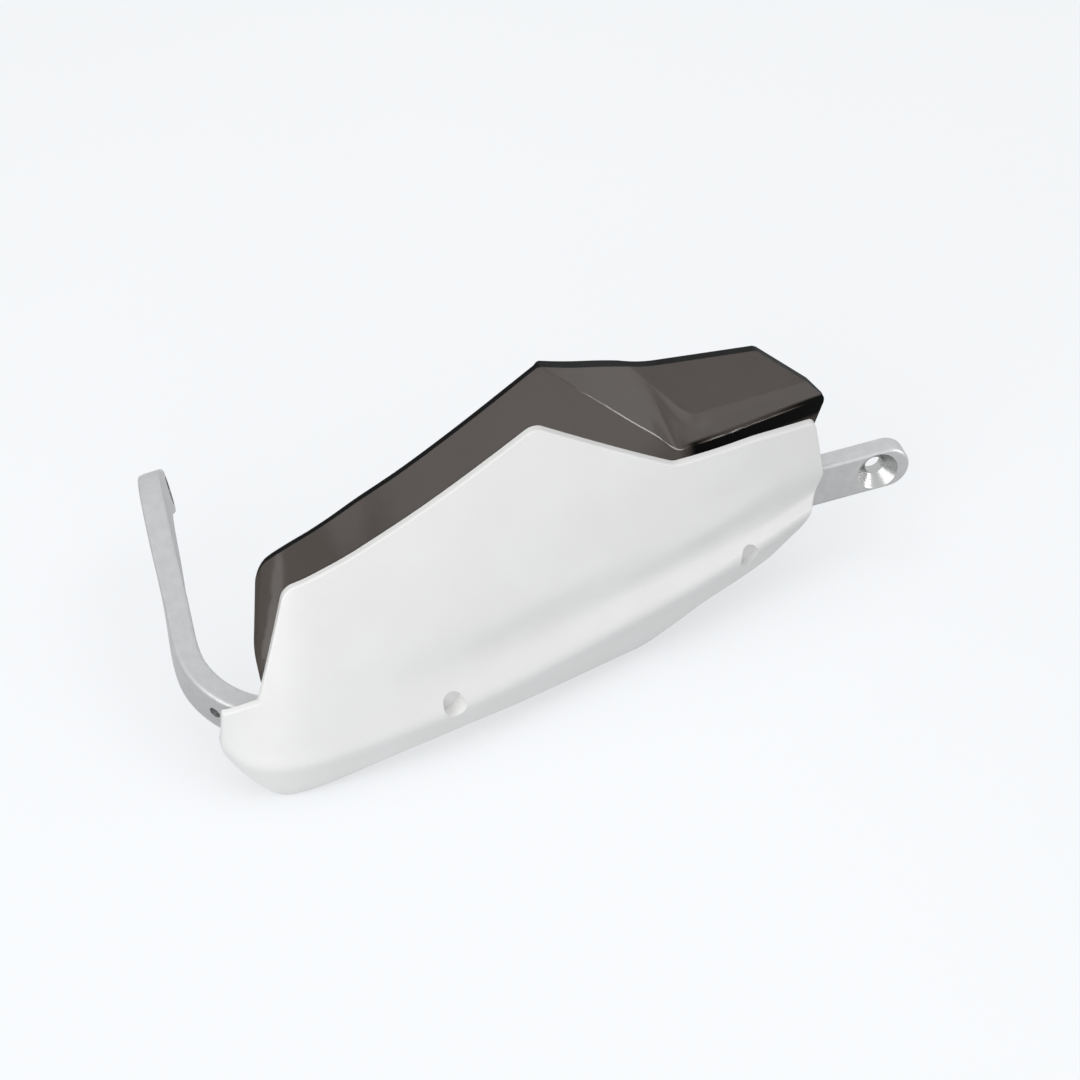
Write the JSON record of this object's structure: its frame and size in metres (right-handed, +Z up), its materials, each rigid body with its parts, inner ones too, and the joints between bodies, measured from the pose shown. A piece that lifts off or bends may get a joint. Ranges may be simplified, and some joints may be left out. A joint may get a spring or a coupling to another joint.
{
  "type": "motorcycle hand guard",
  "caption": "Flat alloy bar bent round the hand, with a white impact shell on its front and a smoked wind deflector above; fixes at the bar end and a clamp eye.",
  "frame": {"origin": "centre of the bar-end eye, on the arm's inner face", "axes": "+X inboard along the guard towards the clamp eye, +Y to the rider, +Z up"},
  "size_m": [0.3279, 0.1797, 0.1346],
  "materials": {
    "bar_alloy": "satin, tumbled",
    "shell_white": "satin moulded",
    "deflector_smoke": "clear smoked, gloss",
    "insert_brass": "turned",
    "fixing_steel": "zinc plated"
  },
  "bodies": {
    "root": {"bar": "bar_alloy", "impact_shell": "shell_white", "wind_deflector": "deflector_smoke", "shell_insert_outer": "insert_brass", "shell_insert_inner": "insert_brass", "shell_washer_outer": "fixing_steel", "shell_screw_outer": "fixing_steel", "shell_washer_inner": "fixing_steel", "shell_screw_inner": "fixing_steel", "deflector_washer_1": "fixing_steel", "deflector_screw_1": "fixing_steel", "deflector_washer_2": "fixing_steel", "deflector_screw_2": "fixing_steel", "deflector_washer_3": "fixing_steel", "deflector_screw_3": "fixing_steel", "deflector_washer_4": "fixing_steel", "deflector_screw_4": "fixing_steel"}
  },
  "joints": []
}
